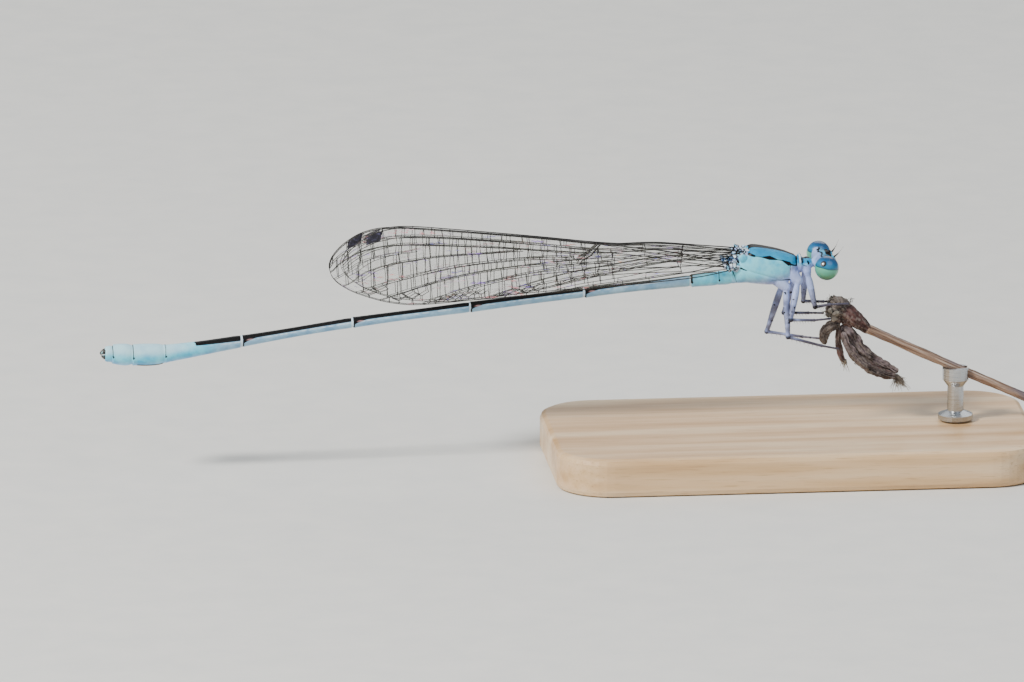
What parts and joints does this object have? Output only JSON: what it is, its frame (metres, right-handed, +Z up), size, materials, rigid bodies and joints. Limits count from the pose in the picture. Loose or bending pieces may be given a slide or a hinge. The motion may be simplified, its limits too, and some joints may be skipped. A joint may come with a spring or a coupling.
{
  "type": "damselfly model",
  "caption": "Life-size slender blue damselfly, wings closed over its back, gripping a withered flower head on a dry stalk held by a small display stand.",
  "frame": {"origin": "on the surface it stands on, under the middle of the whole model's bounding box", "axes": "+X runs towards the insect's head and along the stalk, +Y to the insect's left, +Z up"},
  "size_m": [0.0486, 0.013, 0.013],
  "materials": {
    "cuticle": "pale blue insect cuticle with black marks, satin",
    "eye": "compound eye, blue above and green below, smooth and wet-looking",
    "dark_cuticle": "near-black cuticle of the feelers, satin",
    "leg_cuticle": "greyish lavender leg cuticle with dark knees, satin",
    "wing": "clear wing membrane between dark veins, faintly iridescent",
    "withered_flower": "shrivelled brown-grey plant tissue, matt and wrinkled",
    "dry_stalk": "dry pinkish-tan stalk with fine grooves, matt",
    "base_wood": "pale oiled maple, satin",
    "rod_steel": "turned stainless steel, brushed"
  },
  "bodies": {
    "root": {"head": "cuticle", "mouthparts": "cuticle", "eye_left": "eye", "eye_right": "eye", "antenna_left": "dark_cuticle", "antenna_right": "dark_cuticle", "pterothorax": "cuticle", "prothorax": "cuticle", "abdomen_1": "cuticle", "abdomen_2": "cuticle", "abdomen_3": "cuticle", "abdomen_4": "cuticle", "abdomen_5": "cuticle", "abdomen_6": "cuticle", "abdomen_7": "cuticle", "abdomen_8": "cuticle", "abdomen_9": "cuticle", "abdomen_10": "cuticle", "leg_fore_left_femur": "leg_cuticle", "leg_fore_left_tibia": "leg_cuticle", "leg_fore_left_tarsus": "leg_cuticle", "leg_fore_right_femur": "leg_cuticle", "leg_fore_right_tibia": "leg_cuticle", "leg_fore_right_tarsus": "leg_cuticle", "leg_mid_left_femur": "leg_cuticle", "leg_mid_left_tibia": "leg_cuticle", "leg_mid_left_tarsus": "leg_cuticle", "leg_mid_right_femur": "leg_cuticle", "leg_mid_right_tibia": "leg_cuticle", "leg_mid_right_tarsus": "leg_cuticle", "leg_hind_left_femur": "leg_cuticle", "leg_hind_left_tibia": "leg_cuticle", "leg_hind_left_tarsus": "leg_cuticle", "leg_hind_right_femur": "leg_cuticle", "leg_hind_right_tibia": "leg_cuticle", "leg_hind_right_tarsus": "leg_cuticle", "wing_fore_left": "wing", "wing_fore_right": "wing", "wing_hind_left": "wing", "wing_hind_right": "wing", "perch_stalk": "dry_stalk", "perch_calyx": "withered_flower", "perch_crown": "withered_flower", "perch_bract": "withered_flower", "perch_floret_short": "withered_flower", "perch_floret_upper": "withered_flower", "perch_floret_lower": "withered_flower", "stand_base": "base_wood", "stand_rod": "rod_steel"}
  },
  "joints": []
}
